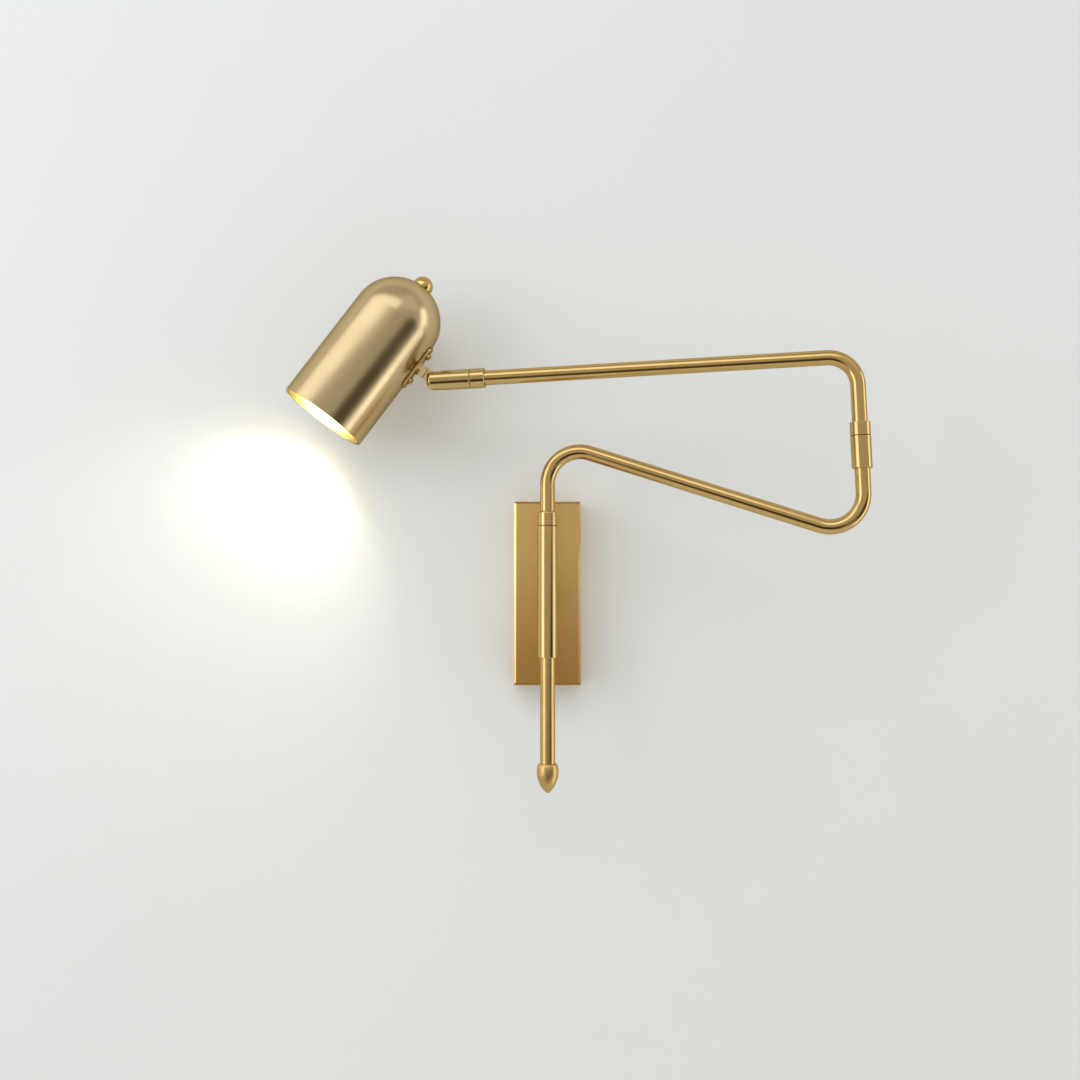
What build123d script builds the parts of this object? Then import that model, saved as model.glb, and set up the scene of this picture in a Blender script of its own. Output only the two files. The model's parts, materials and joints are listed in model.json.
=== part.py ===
from build123d import *
import os
from math import asin, degrees, sqrt

os.makedirs("parts", exist_ok=True)

# Adjustable brass wall lamp in millimetres. The wall is the plane Y = 0, the room is at -Y, +Z is up.
# The origin is the centre of the plate's back, between the two wall screws.

# Fits, all on the radius or per side
run_clearance = 0.05
fit_clearance = 0.05
part_gap = 0.3
seat_gap = 0.1

# Wall plate and the bracket behind it
plate_width = 56.0
plate_height = 154.0
plate_depth = 25.0
plate_wall = 1.5
plate_bevel = 1.9
plate_bevel_depth = 1.2
bracket_width = 22.0
bracket_thickness = 2.0
bracket_gap = 0.5
bracket_bend = 1.0
tab_depth = 14.0
tab_screw_setback = 9.0
wall_screw_spacing = 100.0
wall_screw_hole = 5.0
wire_hole = 14.0

# Post that carries the wall sleeve, and the hollow nipple that holds it to the plate
arm_standoff = 70.0
post_diameter = 14.0
nipple_diameter = 10.0
nipple_bore = 6.5
nipple_grip = 14.0
nipple_inside = 9.0
nipple_nut_flats = 14.0
nipple_nut_height = 4.0
nipple_washer_diameter = 18.0
nipple_washer_thickness = 1.0

# Terminal block on the bracket
terminal_width = 18.0
terminal_height = 22.0
terminal_depth = 12.0
terminal_rise = 34.0
terminal_pitch = 9.0
terminal_screw_spacing = 12.0
earth_screw_drop = 32.0

# Rods, sleeves and collars
rod_diameter = 12.0
rod_wall = 1.5
sleeve_diameter = 16.0
edge_break = 0.3
collar_round = 1.8
seam_width = 0.4
seam_depth = 0.6
wall_sleeve_length = 105.6
shoulder_collar_length = 11.5
bush_wall = 0.8
bush_length = 14.0
elbow_sleeve_rise = 56.4
elbow_sleeve_length = 25.5
elbow_grip = 9.0
elbow_collar_length = 10.5
head_collar_length = 11.8

# Run of the two arms, which lie in one upright plane when folded
arm_yaw = 7.0
rod_drop = 136.8
near_corner_height = 122.8
near_bend = 26.0
arm_reach = 250.6
far_corner_height = 39.7
far_bend = 26.0
leg_lean = 2.0
upper_corner_rise = 145.6
upper_bend = 23.0
upper_reach = 345.0

# Acorn finial on the rod's lower end
finial_diameter = 17.3
finial_length = 23.3
finial_neck_diameter = 12.4
finial_belly = 6.4
finial_tip = 2.2
finial_spigot = 9.0

# Swing limits in degrees, and the grooves and screws that set them
shoulder_swing = 180.0
elbow_swing = 330.0
barrel_swing = 330.0
groove_depth = 0.8
stop_tip_diameter = 1.6
grub_diameter = 3.0
grub_recess = 0.25
socket_flats = 1.5
socket_depth = 0.9

# Swivel barrel with its fork
barrel_length = 35.6
barrel_round = 3.4
spigot_length = 16.0
pin_inset = 7.0
fork_depth = 12.6
fork_washer = 0.5
fork_washer_diameter = 9.0
pivot_diameter = 4.0
pivot_cover = 1.5
pivot_slot_width = 0.8

# Head: how it hangs at rest, the knuckle and the fixing strip
head_roll = -6.0
head_tilt = 37.7
head_twist = 13.6
shade_distance = 56.6
strip_height = 79.1
tongue_thickness = 6.5
tongue_width = 9.6
block_start = 10.2
block_width = 10.0
block_thickness = 10.0
block_chamfer = 1.4
stud_diameter = 6.0
knuckle_nut_flats = 10.0
knuckle_nut_height = 3.0
lock_nut_height = 3.5
strip_length = 41.0
strip_width = 8.6
strip_thickness = 1.8
strip_corner = 3.9
strip_edge = 0.4
strip_screw_spacing = 25.0

# Shade, a spun tube with a round dome
shade_diameter = 74.2
shade_length = 137.1
shade_wall = 1.2
shade_rim = 0.4
cap_diameter = 16.8
cap_side = 1.6
cap_thread_depth = 4.5
lamp_stud_diameter = 6.0
stud_nut_flats = 10.0
stud_nut_height = 4.0

# Lampholder and bulb on the shade's axis, heights above the opening
holder_top = 126.0
holder_split = 108.0
holder_top_diameter = 18.0
holder_diameter = 29.0
holder_mouth_diameter = 26.0
holder_wall = 2.0
holder_floor = 3.0
bulb_thread_diameter = 14.0
bulb_thread_depth = 0.5
bulb_thread_pitch = 3.0
bulb_thread_turns = 7
contact_diameter = 5.0
contact_height = 2.0
globe_diameter = 45.0
globe_height = 45.0
globe_neck_diameter = 18.0
globe_wall = 1.0

# Internal cable
cable_diameter = 3.2
cable_slack = 0.2
canopy_cable_bend = 7.0
shoulder_cable_bend = 8.0
head_cable_bend = 5.0
cable_setback = 8.0
cable_joint_rise = 11.0
cable_bush_length = 6.0
head_cable_offset = 25.0

# Small screws and nuts
canopy_screw_diameter = 3.0
strip_screw_diameter = 3.0
terminal_screw_diameter = 2.4
terminal_screw_length = 5.0
earth_screw_diameter = 4.0
nut_flats_ratio = 1.75
nut_height_ratio = 0.7
head_ratio = 1.85
head_height_ratio = 0.6
tall_head_ratio = 0.9
slot_ratio = 0.25

# Radii and lengths that follow from the above
rod_radius = rod_diameter / 2
rod_bore = rod_radius - rod_wall
sleeve_radius = sleeve_diameter / 2
sleeve_bore = rod_radius + run_clearance + bush_wall + fit_clearance
seam_radius = sleeve_radius - seam_depth
collar_wall = sleeve_radius - rod_radius - fit_clearance
shade_radius = shade_diameter / 2
shade_bore = shade_radius - shade_wall
shade_side = shade_length - shade_radius
cable_radius = cable_diameter / 2
cable_hole = cable_radius + cable_slack
tongue_half = tongue_thickness / 2
fork_half = tongue_half + fork_washer
pivot_radius = pivot_diameter / 2
pivot_end = cable_hole + seat_gap
plate_inside = plate_depth - plate_wall
sleeve_top = wall_sleeve_length / 2
lower_tube_top = elbow_sleeve_rise + elbow_grip
upper_tube_bottom = lower_tube_top + 2 * part_gap
elbow_seam = elbow_sleeve_rise + elbow_sleeve_length
barrel_seat = upper_reach - barrel_length
upper_tube_end = barrel_seat - seam_width
stop_tip_radius = stop_tip_diameter / 2


# A frame made from another one, shifted and then turned about its own axes.
def placed(base, shift=(0, 0, 0), turn=(0, 0, 0)):
    return Plane(base.location * Location(shift, turn))


# Every frame has Y along its rod or axis. Z faces the room in the resting pose.
wall_frame = Plane.XZ
side_frame = Plane(origin=(0, 0, 0), x_dir=(0, -1, 0), z_dir=(-1, 0, 0))
shoulder_frame = placed(wall_frame, shift=(0, 0, arm_standoff))
arm_frame = placed(shoulder_frame, turn=(0, -arm_yaw, 0))
elbow_frame = placed(arm_frame, shift=(arm_reach, far_corner_height, 0), turn=(0, 0, leg_lean))
run_frame = placed(elbow_frame, shift=(0, upper_corner_rise, 0), turn=(0, 0, 90))
swivel_frame = placed(run_frame, shift=(0, upper_reach - pin_inset, 0), turn=(0, head_roll, 0))
head_frame = placed(swivel_frame, turn=(0, 0, 90 - head_tilt))
stud_frame = placed(head_frame, turn=(head_twist, 0, 0))
shade_frame = placed(stud_frame, shift=(shade_distance, strip_height, 0), turn=(0, 0, 180))


def axis_of(frame):
    return Axis(frame.origin, frame.y_dir)


# A plane on the wall side of a rod, facing outwards, for screws that enter there.
def back_seat(frame, height, radius):
    return placed(frame, shift=(0, height, -radius), turn=(0, 180, 0))


# Ring about a frame's Y axis between two heights.
def ring(frame, inner, outer, low, high):
    with BuildPart() as piece:
        with BuildSketch(frame):
            with Locations(((inner + outer) / 2, (low + high) / 2)):
                Rectangle(outer - inner, high - low)
        revolve(axis=axis_of(frame))
    return piece


# Arc-shaped cutter about a frame's Y axis, from a start angle over a sweep.
def arc_cutter(frame, inner, outer, middle, height, start, sweep):
    with BuildPart() as piece:
        with BuildSketch(placed(frame, turn=(0, start, 0))):
            with Locations(((inner + outer) / 2, middle)):
                Rectangle(outer - inner, height)
        revolve(axis=axis_of(frame), revolution_arc=sweep)
    return piece


# Round hole cutter that runs inwards from a seat.
def hole_cutter(seat, radius, depth):
    with BuildPart() as piece:
        with BuildSketch(seat):
            Circle(radius)
        extrude(amount=-depth)
    return piece


# Socket-head grub screw that runs inwards from a seat, with an optional thinner tip.
def grub_screw(seat, length, tip_length=0.0):
    with BuildPart() as piece:
        with BuildSketch(seat):
            Circle(grub_diameter / 2)
        extrude(amount=-length)
        with BuildSketch(seat):
            RegularPolygon(socket_flats / 2, 6, major_radius=False)
        extrude(amount=-socket_depth, mode=Mode.SUBTRACT)
        if tip_length > 0:
            with BuildSketch(seat.offset(-length)):
                Circle(stop_tip_radius)
            extrude(amount=-tip_length)
    return piece


# Slotted pan-head screw: the head stands on the seat and the shank runs inwards.
def pan_screw(seat, diameter, length, height_ratio=head_height_ratio):
    head_radius = diameter * head_ratio / 2
    head_height = diameter * height_ratio
    slot = diameter * slot_ratio
    with BuildPart() as piece:
        with BuildSketch(seat):
            Circle(diameter / 2)
        extrude(amount=-length)
        with BuildSketch(seat):
            Circle(head_radius)
        extrude(amount=head_height)
        rim = piece.edges().group_by(Axis(seat.origin, seat.z_dir))[-1]
        fillet(rim, head_height / 2)
        with BuildSketch(seat.offset(head_height)):
            Rectangle(2 * head_radius, slot)
        extrude(amount=-head_height / 2, mode=Mode.SUBTRACT)
    return piece


# Hexagon nut that lies on the seat and grows along its normal.
def hex_nut(seat, flats, height, hole):
    with BuildPart() as piece:
        with BuildSketch(seat):
            RegularPolygon(flats / 2, 6, major_radius=False)
            Circle(hole, mode=Mode.SUBTRACT)
        extrude(amount=height)
    return piece


# Round cable along straight runs and arcs in one plane.
def cable_run(plane, points, bends):
    with BuildPart() as piece:
        with BuildLine(plane) as route:
            FilletPolyline(*points, radius=bends)
        with BuildSketch(Plane(route.line @ 0, z_dir=route.line % 0)):
            Circle(cable_radius)
        sweep()
    return piece


# Round tube along straight runs and arcs in one plane.
def rod_run(plane, points, bends):
    with BuildPart() as piece:
        with BuildLine(plane) as route:
            FilletPolyline(*points, radius=bends)
        with BuildSketch(Plane(route.line @ 0, z_dir=route.line % 0)):
            Circle(rod_radius)
            Circle(rod_bore, mode=Mode.SUBTRACT)
        sweep()
    return piece


# Outer edges of a turned piece's lowest and highest end.
def end_edges(piece, frame):
    levels = piece.edges().group_by(axis_of(frame))
    return [level.sort_by(SortBy.RADIUS)[-1] for level in (levels[0], levels[-1])]


# Collar bored for a rod and drilled for a grub screw from the wall side. Its high end is rounded.
def collar(frame, low, high, high_round, screw_height):
    seat = back_seat(frame, screw_height, sleeve_radius)
    drill = hole_cutter(seat, grub_diameter / 2 + fit_clearance, sleeve_radius - rod_bore)
    with BuildPart() as piece:
        with BuildSketch(frame):
            with Locations((sleeve_radius - collar_wall / 2, (low + high) / 2)):
                Rectangle(collar_wall, high - low)
        revolve(axis=axis_of(frame))
        low_edge, high_edge = end_edges(piece, frame)
        chamfer(low_edge, edge_break)
        fillet(high_edge, min(high_round, collar_wall - seat_gap))
        add(drill.part, mode=Mode.SUBTRACT)
    return piece


def save(built, name):
    built.part.label = name
    export_step(built.part, f"parts/{name}.step")


# Margin in degrees that a round tip of a given radius needs in a groove of a given floor radius.
def swing_margin(tip_radius, floor_radius):
    return degrees(asin((tip_radius + seat_gap) / floor_radius))


# Wall plate: a box-shaped cover with square corners and a flat bevel round its front, open at the back
tab_seats = [
    Plane(origin=(0, -tab_screw_setback, side * plate_height / 2), x_dir=(1, 0, 0), z_dir=(0, 0, side))
    for side in (1, -1)
]
with BuildPart() as wall_plate:
    with BuildSketch(wall_frame):
        Rectangle(plate_width, plate_height)
    extrude(amount=plate_depth)
    front = wall_plate.faces().sort_by(Axis.Y)[0]
    chamfer(front.edges(), plate_bevel, plate_bevel_depth, reference=front)
    with BuildSketch(wall_frame):
        Rectangle(plate_width - 2 * plate_wall, plate_height - 2 * plate_wall)
    extrude(amount=plate_inside, mode=Mode.SUBTRACT)
    with BuildSketch(wall_frame):
        Circle(nipple_diameter / 2 + fit_clearance)
    extrude(amount=plate_depth, mode=Mode.SUBTRACT)
    for seat in tab_seats:
        with BuildSketch(seat):
            Circle(canopy_screw_diameter / 2 + seat_gap)
        extrude(amount=-plate_wall, mode=Mode.SUBTRACT)
save(wall_plate, "wall_plate")

# Steel bracket on the wall: a strap with two bent tabs
bracket_half = plate_height / 2 - plate_wall - bracket_gap
with BuildPart() as mounting_bracket:
    with BuildSketch(side_frame):
        with BuildLine():
            Polyline(
                (0, -bracket_half),
                (tab_depth, -bracket_half),
                (tab_depth, bracket_thickness - bracket_half),
                (bracket_thickness, bracket_thickness - bracket_half),
                (bracket_thickness, bracket_half - bracket_thickness),
                (tab_depth, bracket_half - bracket_thickness),
                (tab_depth, bracket_half),
                (0, bracket_half),
                close=True,
            )
        make_face()
    extrude(amount=bracket_width / 2, both=True)
    corners = mounting_bracket.edges().filter_by(Axis.X).group_by(Axis.Y)[-1]
    fillet(corners, bracket_bend)
    with BuildSketch(wall_frame):
        Circle(wire_hole / 2)
        with GridLocations(0, wall_screw_spacing, 1, 2):
            Circle(wall_screw_hole / 2)
        with Locations((0, -earth_screw_drop)):
            Circle(earth_screw_diameter / 2 + fit_clearance)
    extrude(amount=bracket_thickness, mode=Mode.SUBTRACT)
    for seat in tab_seats:
        with BuildSketch(seat):
            Circle(canopy_screw_diameter / 2 + fit_clearance)
        extrude(amount=-(plate_wall + bracket_gap + bracket_thickness), mode=Mode.SUBTRACT)
save(mounting_bracket, "mounting_bracket")

# Screws that hold the plate to the bracket's tabs, one above and one below
canopy_screw_length = plate_wall + bracket_gap + bracket_thickness
with BuildPart() as canopy_screws:
    for seat in tab_seats:
        add(pan_screw(seat, canopy_screw_diameter, canopy_screw_length).part)
save(canopy_screws, "canopy_screws")

earth_seat = placed(wall_frame, shift=(0, -earth_screw_drop, bracket_thickness))
earth_screw = pan_screw(earth_seat, earth_screw_diameter, bracket_thickness - seat_gap)
save(earth_screw, "earth_screw")

# Terminal block with its wire ways and clamping screws
terminal_front = bracket_thickness + terminal_depth
terminal_centre = placed(wall_frame, shift=(0, terminal_rise, terminal_front))
terminal_seats = [
    placed(terminal_centre, shift=(across * terminal_pitch / 2, up * terminal_screw_spacing / 2, 0))
    for across in (-1, 1)
    for up in (-1, 1)
]
with BuildPart() as terminal_block:
    with BuildSketch(wall_frame.offset(bracket_thickness)):
        with Locations((0, terminal_rise)):
            Rectangle(terminal_width, terminal_height)
    extrude(amount=terminal_depth)
    for seat in terminal_seats:
        with BuildSketch(seat):
            Circle(terminal_screw_diameter / 2 + fit_clearance)
        extrude(amount=-(terminal_screw_length + seat_gap), mode=Mode.SUBTRACT)
    front = terminal_block.faces().sort_by(Axis.Y)[0]
    fillet(front.outer_wire().edges(), bracket_bend)
save(terminal_block, "terminal_block")

with BuildPart() as terminal_screws:
    for seat in terminal_seats:
        add(pan_screw(seat, terminal_screw_diameter, terminal_screw_length).part)
save(terminal_screws, "terminal_screws")

# Nipple through the plate, with its washer and nut inside
with BuildPart() as threaded_nipple:
    with BuildSketch(wall_frame.offset(plate_inside - nipple_inside)):
        Circle(nipple_diameter / 2)
        Circle(nipple_bore / 2, mode=Mode.SUBTRACT)
    extrude(amount=nipple_inside + plate_wall + nipple_grip)
save(threaded_nipple, "threaded_nipple")

with BuildPart() as nipple_washer:
    with BuildSketch(wall_frame.offset(plate_inside)):
        Circle(nipple_washer_diameter / 2)
        Circle(nipple_diameter / 2 + fit_clearance, mode=Mode.SUBTRACT)
    extrude(amount=-nipple_washer_thickness)
save(nipple_washer, "nipple_washer")

nut_seat = wall_frame.offset(plate_inside - nipple_washer_thickness - nipple_nut_height)
nipple_nut = hex_nut(nut_seat, nipple_nut_flats, nipple_nut_height, nipple_diameter / 2 + fit_clearance)
save(nipple_nut, "nipple_nut")

# Post from the plate to the sleeve, threaded for the nipple and hollow for the cable
with BuildPart() as standoff_post:
    with BuildSketch(wall_frame.offset(plate_depth)):
        Circle(post_diameter / 2)
    extrude(amount=arm_standoff - plate_depth)
    with BuildSketch(wall_frame.offset(plate_depth)):
        Circle(nipple_diameter / 2 + fit_clearance)
    extrude(amount=nipple_grip + part_gap, mode=Mode.SUBTRACT)
    with BuildSketch(wall_frame.offset(plate_depth)):
        Circle(nipple_bore / 2)
    extrude(amount=arm_standoff - plate_depth, mode=Mode.SUBTRACT)
    with BuildSketch(placed(shoulder_frame, turn=(90, 0, 0))):
        Circle(sleeve_radius + fit_clearance)
    extrude(amount=post_diameter, both=True, mode=Mode.SUBTRACT)
save(standoff_post, "standoff_post")

# Wall sleeve with its two liner bushes and the screw that stops the swing
stop_height = bush_length / 2 - sleeve_top
stop_seat = back_seat(shoulder_frame, stop_height, sleeve_radius - grub_recess)
grub_hole = grub_diameter / 2 + fit_clearance
stop_drill = hole_cutter(back_seat(shoulder_frame, stop_height, sleeve_radius), grub_hole, sleeve_radius)
with BuildPart() as wall_sleeve:
    with BuildSketch(shoulder_frame):
        with Locations(((sleeve_bore + sleeve_radius) / 2, 0)):
            Rectangle(sleeve_radius - sleeve_bore, wall_sleeve_length)
    revolve(axis=axis_of(shoulder_frame))
    chamfer(end_edges(wall_sleeve, shoulder_frame), edge_break)
    add(stop_drill.part, mode=Mode.SUBTRACT)
    with BuildSketch(shoulder_frame):
        Circle(nipple_bore / 2)
    extrude(amount=-sleeve_radius, mode=Mode.SUBTRACT)
save(wall_sleeve, "wall_sleeve")

with BuildPart() as sleeve_bushes:
    for low in (-sleeve_top, sleeve_top - bush_length):
        liner = ring(
            shoulder_frame, rod_radius + run_clearance, sleeve_bore - fit_clearance, low, low + bush_length
        )
        add(liner.part)
    add(stop_drill.part, mode=Mode.SUBTRACT)
save(sleeve_bushes, "sleeve_bushes")

shoulder_stop_length = sleeve_radius - grub_recess - rod_radius - seat_gap
stop_tip_length = groove_depth
shoulder_stop_screw = grub_screw(stop_seat, shoulder_stop_length, stop_tip_length)
save(shoulder_stop_screw, "shoulder_stop_screw")

# Supply cable: from the terminal block through the nipple and post, then up on the shoulder's axis
terminal_bottom = terminal_rise - terminal_height / 2
supply_cable = cable_run(
    side_frame,
    [
        (cable_setback, terminal_bottom),
        (cable_setback, 0),
        (arm_standoff, 0),
        (arm_standoff, cable_joint_rise),
    ],
    [canopy_cable_bend, shoulder_cable_bend],
)
save(supply_cable, "supply_cable")

# Lower arm: one bent tube from the finial to the elbow, with a window for the cable and a stop groove
leg_top = arm_frame.to_local_coords(elbow_frame.from_local_coords(Vector(0, lower_tube_top, 0)))
lower_run = rod_run(
    arm_frame,
    [(0, -rod_drop), (0, near_corner_height), (arm_reach, far_corner_height), (leg_top.X, leg_top.Y)],
    [near_bend, far_bend],
)
window_margin = swing_margin(cable_hole + part_gap, rod_bore)
window_height = shoulder_cable_bend + cable_hole
cable_window = arc_cutter(
    arm_frame,
    rod_bore - part_gap,
    rod_radius + part_gap,
    window_height / 2 - cable_hole - part_gap,
    window_height,
    90 - window_margin,
    shoulder_swing + 2 * window_margin,
)
groove_floor = rod_radius - groove_depth - seat_gap
groove_height = stop_tip_diameter + 2 * seat_gap
groove_margin = swing_margin(stop_tip_radius, groove_floor)
shoulder_groove = arc_cutter(
    arm_frame,
    groove_floor,
    rod_radius + part_gap,
    stop_height,
    groove_height,
    90 - groove_margin,
    shoulder_swing + 2 * groove_margin,
)
with BuildPart() as lower_arm_tube:
    add(lower_run.part)
    add(cable_window.part, mode=Mode.SUBTRACT)
    add(shoulder_groove.part, mode=Mode.SUBTRACT)
save(lower_arm_tube, "lower_arm_tube")

# Acorn finial: a round shoulder, a full belly, a long flank and a small round tip, each tangent to the next
finial_radius = finial_diameter / 2
finial_neck = finial_neck_diameter / 2
tip_drop = finial_length - finial_tip
flank_drop = tip_drop - finial_belly
flank_radius = (finial_radius**2 + flank_drop**2 - finial_tip**2) / (2 * (finial_radius - finial_tip))
flank_centre = Vector(finial_radius - flank_radius, -finial_belly)
tip_centre = Vector(0, -tip_drop)
tip_tangent = tip_centre + (tip_centre - flank_centre).normalized() * finial_tip
finial_frame = placed(arm_frame, shift=(0, -rod_drop, 0))
spigot_radius = rod_bore - fit_clearance
with BuildPart() as finial:
    with BuildSketch(finial_frame):
        with BuildLine():
            Polyline(
                (0, -finial_length),
                (0, finial_spigot),
                (spigot_radius, finial_spigot),
                (spigot_radius, 0),
                (finial_neck, 0),
            )
            shoulder = Bezier((finial_neck, 0), (finial_radius, 0), (finial_radius, -finial_belly))
            flank = TangentArc(shoulder @ 1, tip_tangent, tangent=(0, -1))
            TangentArc(flank @ 1, (0, -finial_length), tangent=flank % 1)
        make_face()
    revolve(axis=axis_of(finial_frame))
save(finial, "finial")

# Shoulder collar and the thin washer that shows as a seam under it
collar_low = sleeve_top + seam_width
collar_high = collar_low + shoulder_collar_length
collar_screw_height = collar_low + shoulder_collar_length / 2
grub_length = collar_wall - grub_recess
shoulder_collar = collar(arm_frame, collar_low, collar_high, collar_round, collar_screw_height)
save(shoulder_collar, "shoulder_collar")
shoulder_washer = ring(arm_frame, rod_radius + seat_gap, seam_radius, sleeve_top, collar_low)
save(shoulder_washer, "shoulder_washer")
collar_seat = back_seat(arm_frame, collar_screw_height, sleeve_radius - grub_recess)
shoulder_collar_screw = grub_screw(collar_seat, grub_length)
save(shoulder_collar_screw, "shoulder_collar_screw")

# Elbow sleeve on the top of the lower arm, bored for the upper arm's end
elbow_grip_height = elbow_sleeve_rise + elbow_grip / 2
elbow_stop_height = (upper_tube_bottom + elbow_seam) / 2
with BuildPart() as elbow_sleeve:
    with BuildSketch(elbow_frame):
        with Locations(
            ((rod_radius + run_clearance + sleeve_radius) / 2, elbow_sleeve_rise + elbow_sleeve_length / 2)
        ):
            Rectangle(sleeve_radius - rod_radius - run_clearance, elbow_sleeve_length)
    revolve(axis=axis_of(elbow_frame))
    chamfer(end_edges(elbow_sleeve, elbow_frame), edge_break)
    for height in (elbow_grip_height, elbow_stop_height):
        drill = hole_cutter(back_seat(elbow_frame, height, sleeve_radius), grub_hole, sleeve_radius)
        add(drill.part, mode=Mode.SUBTRACT)
save(elbow_sleeve, "elbow_sleeve")
elbow_grip_seat = back_seat(elbow_frame, elbow_grip_height, sleeve_radius - grub_recess)
elbow_grip_screw = grub_screw(elbow_grip_seat, grub_length)
save(elbow_grip_screw, "elbow_grip_screw")
elbow_stop_seat = back_seat(elbow_frame, elbow_stop_height, sleeve_radius - grub_recess)
elbow_stop_screw = grub_screw(elbow_stop_seat, shoulder_stop_length, stop_tip_length)
save(elbow_stop_screw, "elbow_stop_screw")

# Cable in the lower arm, between two plastic bushes
cable_low = cable_joint_rise + part_gap
lower_arm_cable = cable_run(
    arm_frame,
    [
        (0, cable_low),
        (0, near_corner_height),
        (arm_reach, far_corner_height),
        (leg_top.X, leg_top.Y),
    ],
    [near_bend, far_bend],
)
save(lower_arm_cable, "lower_arm_cable")
cable_bush_radius = rod_bore - fit_clearance
cable_bush_hole = cable_radius + fit_clearance
window_top = window_height - cable_hole - part_gap
lower_bush_low = max(cable_low, window_top) + part_gap
with BuildPart() as lower_cable_bushes:
    shoulder_end = ring(
        arm_frame, cable_bush_hole, cable_bush_radius, lower_bush_low, lower_bush_low + cable_bush_length
    )
    add(shoulder_end.part)
    elbow_end = ring(
        elbow_frame, cable_bush_hole, cable_bush_radius, lower_tube_top - cable_bush_length, lower_tube_top
    )
    add(elbow_end.part)
save(lower_cable_bushes, "lower_cable_bushes")

# Upper arm: one bent tube from its journal in the elbow sleeve to the head collar
upper_run = rod_run(
    elbow_frame,
    [(0, upper_tube_bottom), (0, upper_corner_rise), (-upper_tube_end, upper_corner_rise)],
    [upper_bend],
)
elbow_groove = arc_cutter(
    elbow_frame,
    groove_floor,
    rod_radius + part_gap,
    elbow_stop_height,
    groove_height,
    90 - elbow_swing / 2 - groove_margin,
    elbow_swing + 2 * groove_margin,
)
head_collar_low = upper_tube_end - head_collar_length
head_screw_height = head_collar_low + head_collar_length / 2
head_drill = hole_cutter(back_seat(run_frame, head_screw_height, sleeve_radius), grub_hole, sleeve_radius)
with BuildPart() as upper_arm_tube:
    add(upper_run.part)
    add(elbow_groove.part, mode=Mode.SUBTRACT)
    add(head_drill.part, mode=Mode.SUBTRACT)
save(upper_arm_tube, "upper_arm_tube")

elbow_collar_low = elbow_seam + seam_width
elbow_collar_high = elbow_collar_low + elbow_collar_length
elbow_collar_middle = elbow_collar_low + elbow_collar_length / 2
elbow_collar = collar(elbow_frame, elbow_collar_low, elbow_collar_high, edge_break, elbow_collar_middle)
save(elbow_collar, "elbow_collar")
elbow_washer = ring(elbow_frame, rod_radius + seat_gap, seam_radius, elbow_seam, elbow_collar_low)
save(elbow_washer, "elbow_washer")
elbow_collar_seat = back_seat(elbow_frame, elbow_collar_middle, sleeve_radius - grub_recess)
elbow_collar_screw = grub_screw(elbow_collar_seat, grub_length)
save(elbow_collar_screw, "elbow_collar_screw")

# Head collar on the arm's end, with the screw that keeps the barrel's spigot in
head_collar = collar(run_frame, head_collar_low, upper_tube_end, edge_break, head_screw_height)
save(head_collar, "head_collar")
spigot_run_radius = rod_bore - run_clearance
spigot_groove_floor = spigot_run_radius - groove_depth - seat_gap
head_stop_length = sleeve_radius - grub_recess - rod_bore - seat_gap
head_seat = back_seat(run_frame, head_screw_height, sleeve_radius - grub_recess)
head_stop_screw = grub_screw(head_seat, head_stop_length, stop_tip_length)
save(head_stop_screw, "head_stop_screw")

# Cable in the upper arm, between two plastic bushes
spigot_end = barrel_seat - spigot_length
upper_cable_end = spigot_end - part_gap
upper_arm_cable = cable_run(
    elbow_frame,
    [(0, upper_tube_bottom), (0, upper_corner_rise), (-upper_cable_end, upper_corner_rise)],
    [upper_bend],
)
save(upper_arm_cable, "upper_arm_cable")
with BuildPart() as upper_cable_bushes:
    elbow_end = ring(
        elbow_frame,
        cable_bush_hole,
        cable_bush_radius,
        upper_tube_bottom,
        upper_tube_bottom + cable_bush_length,
    )
    add(elbow_end.part)
    head_end = ring(
        run_frame, cable_bush_hole, cable_bush_radius, upper_cable_end - cable_bush_length, upper_cable_end
    )
    add(head_end.part)
save(upper_cable_bushes, "upper_cable_bushes")

# Swivel barrel: a spigot that turns in the arm's end, a round body and a fork
barrel_foot = pin_inset - barrel_length
spigot_foot = barrel_foot - spigot_length
fork_floor = pin_inset - fork_depth
spigot_margin = swing_margin(stop_tip_radius, spigot_groove_floor)
spigot_groove = arc_cutter(
    swivel_frame,
    spigot_groove_floor,
    rod_bore,
    head_screw_height - (upper_reach - pin_inset),
    groove_height,
    90 - barrel_swing / 2 - spigot_margin,
    barrel_swing + 2 * spigot_margin,
)
pivot_depth = sleeve_radius - pivot_cover
with BuildPart() as swivel_barrel:
    with BuildSketch(swivel_frame):
        with BuildLine():
            Polyline(
                (cable_hole, spigot_foot),
                (spigot_run_radius, spigot_foot),
                (spigot_run_radius, barrel_foot),
                (sleeve_radius - edge_break, barrel_foot),
                (sleeve_radius, barrel_foot + edge_break),
                (sleeve_radius, pin_inset),
                (cable_hole, pin_inset),
                close=True,
            )
        make_face()
    revolve(axis=axis_of(swivel_frame))
    fillet(end_edges(swivel_barrel, swivel_frame)[-1], barrel_round)
    with BuildSketch(swivel_frame):
        with Locations((0, (fork_floor + pin_inset) / 2)):
            Rectangle(2 * sleeve_diameter, fork_depth)
    extrude(amount=fork_half, both=True, mode=Mode.SUBTRACT)
    with BuildSketch(swivel_frame):
        Circle(pivot_radius + fit_clearance)
    extrude(amount=pivot_depth + seat_gap, mode=Mode.SUBTRACT)
    with BuildSketch(swivel_frame):
        Circle(pivot_radius + fit_clearance)
    extrude(amount=-sleeve_radius, mode=Mode.SUBTRACT)
    add(spigot_groove.part, mode=Mode.SUBTRACT)
save(swivel_barrel, "swivel_barrel")

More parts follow.
